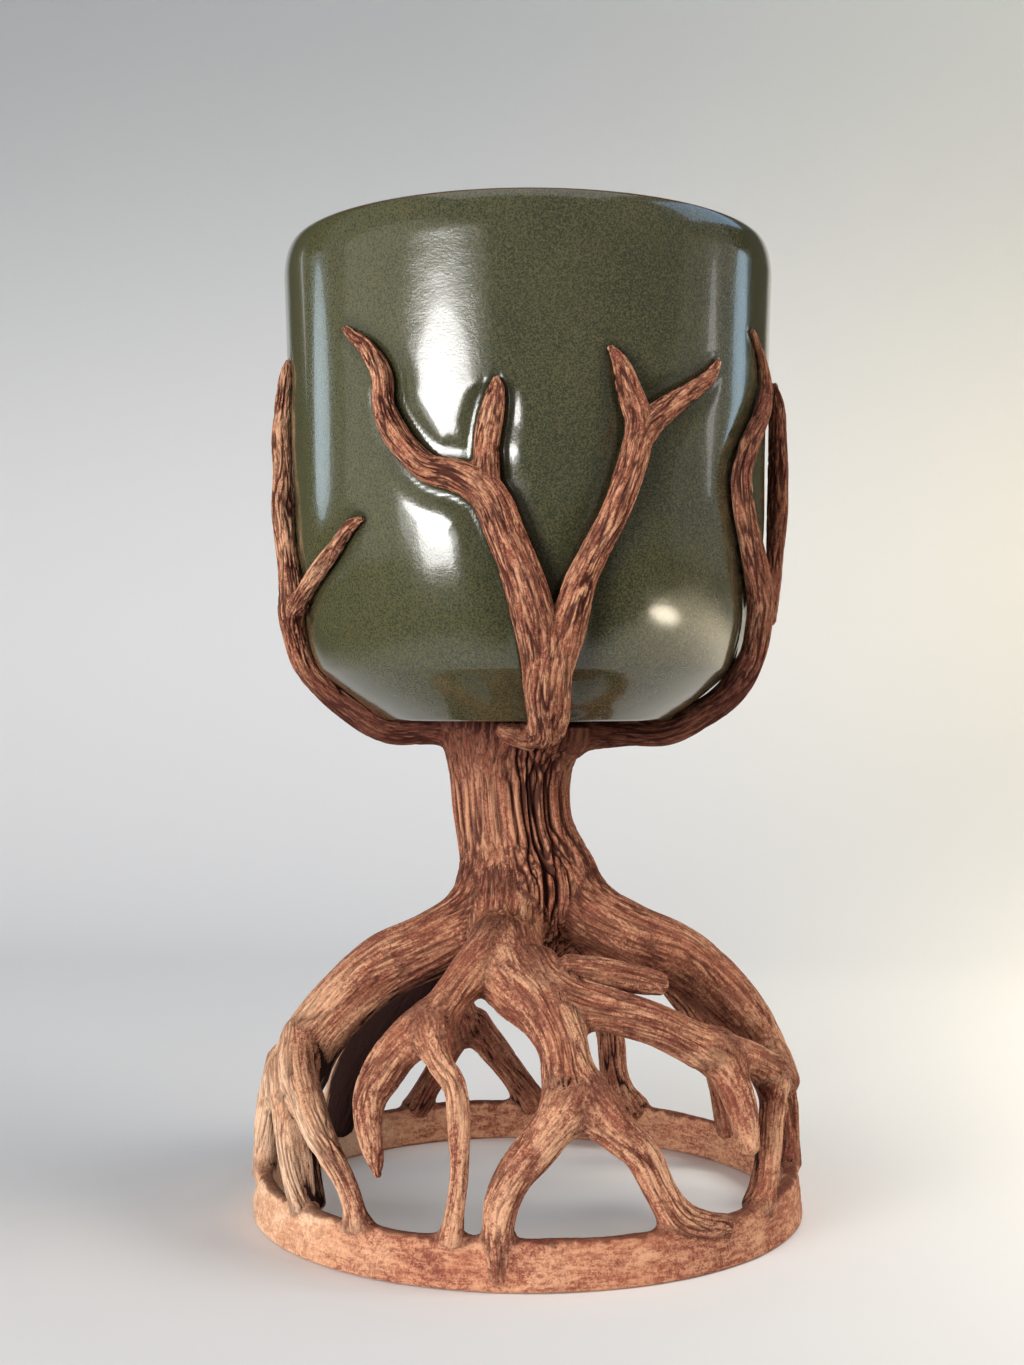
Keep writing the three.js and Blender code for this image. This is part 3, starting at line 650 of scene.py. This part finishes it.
def band_section():
    """The ring's section as points of radius and height, with the way that each one faces."""
    corners = [(ring_radius - ring_wall, 0), (ring_radius, 0),
               (ring_radius - ring_lean, ring_height), (ring_radius - ring_wall, ring_height)]
    made = []
    for start, end in zip(corners, corners[1:] + corners[:1]):
        count = round(np.hypot(end[0] - start[0], end[1] - start[1]) / ring_step)
        made += [np.add(start, np.subtract(end, start) * k / count) for k in range(count)]
    points = np.array(made)
    for _ in range(4):
        here = np.c_[points[:, 0], np.zeros(len(points)), points[:, 1]]
        gap = band.measure(here)[0]
        slope = np.stack([band.measure(here + step)[0] - gap
                          for step in ([0.01, 0, 0], [0, 0, 0.01])], 1)
        slope /= np.linalg.norm(slope, axis=1)[:, None]
        points = points - gap[:, None] * slope
    return points, slope


def new_mesh(name, points, faces, material):
    mesh = bpy.data.meshes.new(name)
    mesh.from_pydata(points * mm, [], [[int(corner) for corner in face] for face in faces])
    mesh.materials.append(material)
    mesh.update()
    return mesh


band = Band()
band_points, band_facing = band_section()
turns = 2 * pi * np.arange(ring_columns) / ring_columns
across = np.stack([np.cos(turns), np.sin(turns), 0 * turns], 1)
upright = np.array([0, 0, 1])
section = len(band_points)
ring_points = (across[:, None] * band_points[:, :1] + upright * band_points[:, 1:]).reshape(-1, 3)
ring_facing = (across[:, None] * band_facing[:, :1] + upright * band_facing[:, 1:]).reshape(-1, 3)
ring_faces = [(c * section + s, (c + 1) % ring_columns * section + s,
               (c + 1) % ring_columns * section + (s + 1) % section, c * section + (s + 1) % section)
              for c in range(ring_columns) for s in range(section)]
ring_mesh = new_mesh("foot_ring", ring_points, ring_faces, ring_clay)
mark(ring_mesh, "heart", ring_points - ring_facing)
rolls["foot_ring"] = band
shaped["foot_ring"] = add_piece("foot_ring_clay", ring_mesh, "pale_clay", "foot_ring")


# Luted joints and bark: the potter wets each joint and smears the clay across it, so the limbs run
# into each other and into the ring, and then cuts the bark lengthwise with a needle.
smear_heights = [0, 8, 18, 34, 52, 63, 78, 87, 92, 100, 180]
smear_widths = [3, 3.5, 5, 6, 8, 7, 3.5, 3, 2, 1.5, 1.5]
smear_limit = 4.5
smear_steps, smear_error = 10, 0.01
bark_reach, bark_fade = 3, 0.7
random = np.random.default_rng(7)
shuffle = random.permutation(256)
slopes = random.normal(size=(256, 3))
slopes = (slopes / np.linalg.norm(slopes, axis=1)[:, None]).astype(np.float32)


def cloud(places, seed):
    """Smooth noise of about -0.7 to 0.7 at an array of places."""
    places = places + np.array([seed * 17.31, seed * 5.77, seed * 11.13])
    cell = np.floor(places).astype(np.int64)
    local = (places - cell).astype(np.float32)
    ease = local ** 3 * (local * (local * 6 - 15) + 10)
    total = np.zeros(len(places), np.float32)
    for dx in (0, 1):
        for dy in (0, 1):
            row = shuffle[(shuffle[(cell[:, 0] + dx) & 255] + cell[:, 1] + dy) & 255]
            share = (ease[:, 0] if dx else 1 - ease[:, 0]) * (ease[:, 1] if dy else 1 - ease[:, 1])
            for dz in (0, 1):
                slope = slopes[shuffle[(row + cell[:, 2] + dz) & 255]]
                height = (slope * (local - np.array([dx, dy, dz], np.float32))).sum(1)
                total += share * (ease[:, 2] if dz else 1 - ease[:, 2]) * height
    return total


def soft(value):
    value = np.clip(value, 0, 1)
    return value * value * (3 - 2 * value)


def near_parts(points, bodies, reach):
    """Each body with the points within its reach, their distances and their places in its bark."""
    for body in bodies:
        index = np.flatnonzero(((points > body.low - reach) & (points < body.high + reach)).all(1))
        if len(index):
            yield (body, index, *body.measure(points[index]))


def smeared(points, bodies):
    """How far points are from the tree's face, with its joints smeared.

    They are smeared less at the front branch's stem and where the big roots lie side by side.
    """
    width = np.interp(points[:, 2], smear_heights, smear_widths)
    stem_fold = soft((-points[:, 1] - 13) / 4) * soft((points[:, 2] - 83) / 3)
    far_out = soft((np.hypot(points[:, 0], points[:, 1]) - 16) / 14) * soft((points[:, 2] - 38) / 8)
    width = width * (1 - 0.7 * stem_fold) * (1 - 0.6 * far_out)
    face = np.full(len(points), 99.0)
    for _, index, gap, _ in near_parts(points, bodies, smear_limit + 4):
        overlap = np.maximum(width[index] - np.abs(face[index] - gap), 0) / width[index]
        face[index] = np.minimum(face[index], gap) - overlap ** 3 * width[index] / 6
    return face


def cut_bark(body, place, seed):
    """The bark of one roll: how far it stands out, its grooves, its streaks and its high places."""
    wide, long, depth = body.bark
    place = place[:, :3]
    stretch = np.array([wide, wide, long])
    broad = np.array([7, 7, long * 0.8])
    drift = [cloud(place / broad, seed), cloud(place / broad, seed + 1), np.zeros(len(place))]
    bent = place + np.stack(drift, 1) * (0.7 if body.name == "trunk" else 1.2)
    cut = np.abs(cloud(bent / stretch, seed + 2))
    scratch = np.abs(cloud(bent / (stretch * [0.5, 0.5, 0.45]), seed + 3))
    zone = np.clip(0.6 + 1.3 * cloud(place / [5, 5, long * 0.6], seed + 4), 0.15, 1)
    flute = cloud(bent / (stretch * 2.3), seed + 5)
    lump = cloud(place / [4.5, 4.5, 9], seed + 6)
    if body.name == "trunk":
        cleft = np.exp(-((place[:, 0] + 4.5) / 3.6) ** 2) * soft(place[:, 1] / 4)
        zone = zone + cleft * 0.9
        flute = flute - cleft * 0.5
    deep = soft(1 - cut / 0.15) * zone
    fine = soft(1 - scratch / 0.18) * (0.4 + 0.6 * zone)
    streak = 0.5 + 0.9 * cloud(bent / (stretch * [0.75, 0.75, 0.6]), seed + 7)
    lumpiness = min(body.radius.max() / 4, 1) * 0.45
    out = depth * (0.9 * flute - deep - 0.35 * fine) + lump * lumpiness
    groove = np.clip(deep + 0.7 * fine, 0, 1)
    if body is band:
        ragged = place[:, 1] - ring_height + 1 + 1.4 * cloud(place / [3, 3, 2.2], seed + 8)
        groove = np.maximum(groove * 0.2, 0.6 * soft(ragged / 0.8))
    crest = np.clip(0.5 + flute + 0.9 * lump - 0.5 * groove, 0, 1)
    return np.stack([out, groove, streak, crest], 1)


def skin_travel(corners, facing, near):
    """How far each corner has to move along its facing to reach the smeared face."""
    travel = np.zeros(len(corners))
    moving = np.arange(len(corners))
    for _ in range(smear_steps):
        gap = smeared(corners[moving] + facing[moving] * travel[moving, None], near)
        travel[moving] = np.clip(travel[moving] - gap, 0, smear_limit)
        moving = moving[(np.abs(gap) > smear_error) & (travel[moving] < smear_limit)]
    return travel


# Painted shade: how much the side of a root that faces the tree's middle is darkened, and how far
# that side reaches round.
painted_inner_shade = {"left_back_root": (1.6, 0.55), "left_root_inner_leg": (0.9, 0.4), "left_root": (1, 0)}
plain_painted_inner_shade = (0.3, 0)
bodies = list(rolls.values())
for name, body in rolls.items():
    mesh = shaped[name].data
    count = len(mesh.vertices)
    corners, heart = np.empty(count * 3), np.empty(count * 3)
    mesh.vertices.foreach_get("co", corners)
    mesh.attributes["heart"].data.foreach_get("vector", heart)
    corners, heart = corners.reshape(-1, 3) / mm, heart.reshape(-1, 3)
    facing = corners - heart
    facing /= np.maximum(np.linalg.norm(facing, axis=1), 1e-6)[:, None]
    near = [other for other in bodies
            if (other.low < corners.max(0) + 7).all() and (other.high > corners.min(0) - 7).all()]
    points = corners + facing * skin_travel(corners, facing, near)[:, None]
    mesh.vertices.foreach_set("co", (points * mm).ravel())
    mesh.update()
    outward = np.empty(count * 3)
    mesh.vertex_normals.foreach_get("vector", outward)
    outward = outward.reshape(-1, 3)

    own, other = np.full(count, 99.0), np.full(count, 99.0)
    weight, bark = np.zeros(count), np.zeros((count, 4))
    for part, index, gap, place in near_parts(points, near, 5):
        if part is body:
            own[index] = gap
        else:
            other[index] = np.minimum(other[index], gap)
        close = gap < bark_reach
        index, share = index[close], np.exp(-gap[close] / bark_fade)
        weight[index] += share
        bark[index] += share[:, None] * cut_bark(part, place[close], 10 * bodies.index(part))
    bark /= np.maximum(weight, 1e-9)[:, None]

    # A skin that lies under another's has no bark and is drawn back, so that it never shows.
    buried = own - other
    under = soft(buried / 1.2)
    hidden = soft((buried - 1.4) / 1.5)
    centre = points - [0, 0, 35]
    facing_out = (outward * centre).sum(1) / np.linalg.norm(centre, axis=1)
    if body is band:
        inward = -(outward[:, :2] * points[:, :2]).sum(1) / np.hypot(points[:, 0], points[:, 1])
        facing_out = 0.6 - 1.6 * soft((outward[:, 2] - 0.3) / 0.5) + 1.2 * soft(inward)
    else:
        # Painted shade: a root's side that faces the tree's middle is darkened, below the trunk's foot.
        amount, reach = painted_inner_shade.get(name, plain_painted_inner_shade)
        bark[:, 1] += amount * soft(1.3 * (reach - facing_out)) * soft((62 - points[:, 2]) / 6)
        # Painted shade in the creases where a limb runs into another, faint on the trunk and fading out
        # up it.
        crease = np.exp(-(buried / 1.1) ** 2) * soft((3 - own) / 2)
        painted_crease_shade = 0.08 if name == "trunk" else 0.4
        bark[:, 1] += painted_crease_shade * crease * soft((75 - points[:, 2]) / 8)
    # Painted light and shade on the limbs: more buff on the high places of sides that face out, less on
    # sides that face the tree's middle. On the ring, less on its top and more on its inside.
    bark[:, 3] = np.clip(bark[:, 3] + 0.35 * facing_out * (points[:, 2] < 75), 0, 1.3)
    standing = soft((points[:, 2] - 0.1) / 0.8)
    points = points + outward * (bark[:, 0] * (1 - under) * standing)[:, None]
    points = points - facing * ((0.7 * under + 1.9 * hidden) * standing)[:, None]
    points[:, 2] = np.maximum(points[:, 2], 0)
    under_cup = np.hypot(points[:, 0], points[:, 1]) < cup_foot_radius
    points[under_cup, 2] = np.minimum(points[under_cup, 2], cup_base + 1.5)
    mesh.vertices.foreach_set("co", (points * mm).ravel())
    mesh.attributes.remove(mesh.attributes["heart"])
    mark(mesh, "grain", body.measure(points)[1][:, :3] * [1, 1, 1.5 / body.bark[1]])
    for column, kind in enumerate(("groove", "streak", "crest"), 1):
        mark(mesh, kind, bark[:, column])
    mesh.shade_smooth()
    mesh.update()


# Cup's wall: the soft wall gave way a little under the branches, and the glaze rolls up into a bead
# beside them and leaves a thin dark line. The throwing left faint rings round the cup.
cup_columns = 600
wall_step = 0.72
press_depth, press_limit = 0.34, 3.4
bead_height, bead_place, bead_width = 0.2, 0.8, 0.5


def turned(rings):
    """A closed mesh turned from rings of radius, height and columns; the first and last are poles."""
    starts = np.cumsum([0] + [columns for _, _, columns in rings])
    points = []
    for radius, height, columns in rings:
        turn = 2 * pi * np.arange(columns) / columns
        across = radius * np.cos(turn), radius * np.sin(turn)
        points.append(np.stack([*across, np.full(columns, height)], 1))
    faces = []
    for k, ((_, _, below), (_, _, above)) in enumerate(zip(rings, rings[1:])):
        fewer = min(below, above) if min(below, above) > 1 else max(below, above)
        for i in range(fewer):
            lower, upper = (
                [first + (i * count // fewer + j) % count for j in range(count // fewer + 1)][:count]
                for first, count in ((starts[k], below), (starts[k + 1], above)))
            faces.append(lower + upper[::-1])
    return np.vstack(points), faces


def pressed_in(points):
    """How deep the wall is pressed at each point, and how far the nearest branch's edge is."""
    total, edge = np.zeros(len(points)), np.full(len(points), 99.0)
    branches = [body for body in bodies if isinstance(body, Roll) and body.low[2] > cup_base - 8]
    for _, index, gap, place in near_parts(points, branches, 16):
        thick = place[:, 3]
        spread = np.maximum(gap, 0) / (1 + 0.85 * thick)
        valley = press_depth * np.minimum(thick, press_limit) * np.exp(-spread ** 2)
        total[index] += valley ** 4
        edge[index] = np.minimum(edge[index], gap)
    return total ** 0.25, edge


def glaze_finish():
    material, shader, glaze, place = new_finish("green_glaze")
    side, _, height = glaze.axes(place)
    pool = glaze.attribute("pool")
    cloudy = glaze.noise(place, 45, 3, 0.55)
    mottle = glaze.noise(place, 1900, 3, 0.7)
    speck = glaze.noise(place, 3300, 2, 0.6)
    body = glaze.blend(cloudy.between(0.35, 0.68), fired(46, 53, 39), fired(66, 68, 46))
    # Painted sheen: the glaze is painted lighter and yellower on the left, where the window light falls.
    body = glaze.blend((1 - side.between(-0.04, 0.022)) * 0.5, body, fired(96, 97, 64))
    body = glaze.blend(mottle.between(0.44, 0.64) * 0.42, body, fired(98, 97, 66))
    body = glaze.blend(speck.between(0.5, 0.62) * 0.5, body, fired(106, 90, 60))
    body = glaze.blend((1 - speck).between(0.48, 0.62) * 0.75, body, fired(42, 46, 34))
    body = glaze.blend(pool * 0.6, body, fired(34, 36, 26))
    body = glaze.blend(height.between(0.1790, 0.1799) * 0.8, body, fired(86, 62, 44))

    ripple = glaze.noise(place, 260, 2, 0.5)
    relief = ripple * 0.4 + mottle * 0.2 + speck * 0.12
    surface = glaze.node("ShaderNodeBump", None, {
        "Strength": 0.3, "Distance": 0.0003, "Height": relief})
    glaze.feed(shader, {"Base Color": body, "Roughness": 0.12, "Coat Weight": 0.5,
                        "Coat Roughness": 0.05, "Normal": surface})
    return material


rim = cup_base + cup_height
lip_slope, lip_crest, lip_inside = 6, 1.9, 1.4
outer_line = cup_line[1:][cup_line[1:, 1] < rim - lip_slope]
wall_run = np.r_[0, np.cumsum(np.hypot(*np.diff(outer_line, axis=0).T))]
wall_places = np.linspace(0, wall_run[-1], 2 + round(float(wall_run[-1]) / wall_step))
wall = np.stack([np.interp(wall_places, wall_run, outer_line[:, k]) for k in (0, 1)], 1)
lip_turns = np.linspace(0, pi / 2, 15)[1:]
few = cup_columns // 4
below_lip = np.array([cup_mouth_radius - cup_wall, rim - lip_width * 2])
shoulder = np.array([cup_belly_radius - cup_wall, cup_base + cup_shoulder_height])
curve = np.linspace(0, 1, 24)[:, None]
pulls = np.array([(cup_belly_radius - cup_wall, cup_shoulder_height),
                  (cup_belly_radius - cup_wall - 1, cup_bevel_height + cup_floor),
                  (cup_bevel_radius - cup_wall, cup_floor), (cup_foot_radius - cup_wall, cup_floor)])
pulls = pulls + [0, cup_base]
hollow = ((1 - curve) ** 3 * pulls[0] + 3 * curve * (1 - curve) ** 2 * pulls[1]
          + 3 * curve ** 2 * (1 - curve) * pulls[2] + curve ** 3 * pulls[3])
cup_rings = [(0, cup_base, 1)]
cup_rings += [(cup_foot_radius * share, cup_base, few) for share in (0.2, 0.5, 0.8, 0.97)]
cup_rings += [(radius, height, cup_columns) for radius, height in wall]
cup_rings += [(wall[-1, 0] - lip_crest * (1 - cos(t)),
               wall[-1, 1] + (rim - wall[-1, 1]) * sin(t), cup_columns) for t in lip_turns]
cup_rings += [(wall[-1, 0] - lip_crest - 1 + cos(t),
               rim - lip_inside + lip_inside * sin(t), cup_columns)
              for t in pi - lip_turns[::2][::-1]]
cup_rings += [(*(below_lip + (shoulder - below_lip) * share), few)
              for share in np.linspace(0, 1, 20)[:-1]]
cup_rings += [(radius, height, few) for radius, height in hollow]
cup_rings += [(pulls[3, 0] * share, cup_base + cup_floor, few) for share in (0.8, 0.5, 0.2)]
cup_rings += [(0, cup_base + cup_floor, 1)]
cup_points, cup_faces = turned(cup_rings)
first_wall = 1 + 4 * few
outer = slice(first_wall, first_wall + len(wall) * cup_columns)
wall_points = cup_points[outer]
turn = np.arctan2(wall_points[:, 1], wall_points[:, 0])
height = wall_points[:, 2]
depth, gap = pressed_in(wall_points)
fade = soft((wall[-1, 1] - height) / 26) * soft((height - cup_base) / 2)
throwing = 0.02 * cloud(np.stack([height / 9, np.cos(turn) * 1.5, np.sin(turn) * 1.5], 1), 901)
warp = 0.05 * cloud(np.stack([height / 40, np.cos(turn) * 1.2, np.sin(turn) * 1.2], 1), 902)
press = bead_height * np.exp(-((gap - bead_place) / bead_width) ** 2) - depth
outward = wall_points * [1, 1, 0] / np.hypot(wall_points[:, 0], wall_points[:, 1])[:, None]
inset = 0.1 * soft((wall[-1, 1] - height) / 40) * soft((height - cup_base) / 2)
cup_points[outer] = wall_points + outward * ((press + throwing + warp) * fade - inset)[:, None]
pool = np.zeros(len(cup_points))
pool[outer] = np.exp(-(np.maximum(gap, 0) / 1.7) ** 2)
cup_mesh = new_mesh("cup", cup_points, cup_faces, glaze_finish())
mark(cup_mesh, "pool", pool)
cup_mesh.shade_smooth()
add_piece("cup_glazed", cup_mesh, "green_glaze", "cup")


# Studio: a pale paper table that sweeps up into the wall behind, a tall soft window at the front
# left, narrow cool ones at the sides, a warm lamp at the right and a soft light overhead. The paper
# has painted light and shade: a pool of warm light painted on its right, and outside the picture a
# painted dark room, which every ray but the camera's sees.
def sweep_stage():
    depth, rise, bend_radius = 0.75, 2.2, 0.45
    turns = np.linspace(0, pi / 2, 24)
    bend_line = [(depth - bend_radius + bend_radius * sin(t), bend_radius - bend_radius * cos(t))
                 for t in turns]
    line = [(-2.4, 0), *bend_line, (depth, rise)]
    points, faces = [], []
    for y, z in line:
        points += [(-2.2, y, z), (2.2, y, z)]
    for k in range(len(line) - 1):
        faces.append((2 * k, 2 * k + 1, 2 * k + 3, 2 * k + 2))
    material, shader, paper, place = new_finish("stage_paper")
    side, away, height = paper.axes(place)
    # The paper greys up the wall and darkens at the far right. Painted light: its right is painted a
    # warm cream, a pool of warm light.
    tone = paper.blend(height.between(0.1, 0.56), fired(233, 232, 233), fired(178, 181, 184))
    painted_warm_light = paper.blend(height.between(0.1, 0.5), fired(250, 240, 218), fired(202, 201, 195))
    tone = paper.blend(side.between(-0.1, 0.5), tone, painted_warm_light)
    tone = paper.blend(side.between(0.3, 0.8) * 0.7, tone, fired(132, 126, 112))
    # Painted shade: outside the picture the paper is painted dark for every ray but the camera's, a dark
    # room for the glaze to reflect, which also darkens the light bounced about.
    far_left = (side * -1 - away * 0.29).between(0.15, 0.3)
    far_right = (side - away * 0.29).between(0.13, 0.3) * height.between(0.05, 0.2)
    behind = (away * -1).between(0.12, 0.26)
    seen = paper.node("ShaderNodeLightPath", output=0)
    tone = paper.blend((far_left + far_right + behind) * (1 - seen), tone, fired(56, 54, 48))
    paper.feed(shader, {"Base Color": tone, "Roughness": 0.9})
    mesh = bpy.data.meshes.new("stage")
    mesh.from_pydata(points, [], faces)
    mesh.materials.append(material)
    mesh.shade_smooth()
    stage = bpy.data.objects.new("stage", mesh)
    bpy.context.scene.collection.objects.link(stage)


lamp_aim = 0.1


def add_lamp(name, shape, power, colour):
    lamp = bpy.data.lights.new(name, "AREA")
    lamp.shape = shape
    lamp.energy = power
    lamp.color = colour
    holder = bpy.data.objects.new(name, lamp)
    bpy.context.scene.collection.objects.link(holder)
    return lamp, holder


def add_window(name, azimuth, height, distance, width, tall, power, colour, shape="RECTANGLE"):
    """A soft lamp that faces the chalice: azimuth from the front in degrees, sizes in metres."""
    lamp, holder = add_lamp(name, shape, power, colour)
    lamp.size, lamp.size_y = width, tall
    turn, rise = radians(azimuth), atan2(height - lamp_aim, distance)
    holder.location = (distance * sin(turn), -distance * cos(turn), height)
    holder.rotation_euler = (pi / 2 - rise, 0, turn)
    return holder


sweep_stage()
add_window("window_head", -39, 0.222, 0.99, 0.6, 0.19, 4.4, (1.0, 0.99, 0.97), "ELLIPSE")
add_window("front_window", -40, 0.125, 1.0, 0.4, 0.32, 4.2, (1.0, 0.99, 0.97), "ELLIPSE")
add_window("window_glow", -40, 0.16, 1.02, 0.76, 0.3, 1.6, (0.98, 0.99, 1.0), "ELLIPSE")
add_window("room_wall", -55, 0.32, 1.4, 2.2, 0.8, 2.2, (1.0, 0.98, 0.88), "ELLIPSE")
add_window("left_window", -111, 0.29, 1.1, 0.26, 0.2, 0.4, (0.7, 0.88, 1.0), "ELLIPSE")
add_window("left_wall", -140, 0.35, 1.2, 0.6, 0.6, 1.5, (0.96, 0.97, 1.0), "ELLIPSE")
add_window("right_window", 92, 0.34, 1.3, 0.12, 0.16, 0.12, (0.95, 0.96, 1.0), "ELLIPSE")
add_window("cool_window", 114, 0.32, 1.1, 0.24, 0.24, 0.34, (0.55, 0.8, 1.0), "ELLIPSE")
add_window("high_window", 104, 0.85, 0.8, 0.8, 0.45, 1.7, (0.42, 0.68, 1.0))
right_lamp = add_window("right_lamp", 74, 0.78, 0.9, 0.6, 0.4, 5.8, (1.0, 0.93, 0.82))
right_lamp.visible_glossy = False
add_window("right_wall", 98, 0.2, 1.5, 1.8, 0.8, 0.7, (1.0, 0.94, 0.83), "ELLIPSE")
add_window("ceiling", 0, 1.6, 0.4, 1.6, 1.2, 5, (1.0, 1.0, 0.99))


def add_pool(name, place, size, power, spread, colour):
    """A lamp that hangs over the table and lights a round patch of it."""
    lamp, holder = add_lamp(name, "DISK", power, colour)
    lamp.size = size
    lamp.spread = radians(spread)
    holder.location = place


add_pool("table_light", (0.5, 0.05, 0.62), 0.3, 2.2, 75, (1.0, 0.92, 0.78))
add_pool("sun_patch", (0.38, -0.156, 0.5), 0.03, 16, 15, (1.0, 0.96, 0.88))
world = bpy.data.worlds.new("room")
world.use_nodes = True
sky = Wire(world.node_tree)
sky.feed(sky.tree.nodes["Background"], {"Color": (0.72, 0.74, 0.78, 1), "Strength": 0.25})
bpy.context.scene.world = world
bpy.context.scene.view_settings.view_transform = "Standard"
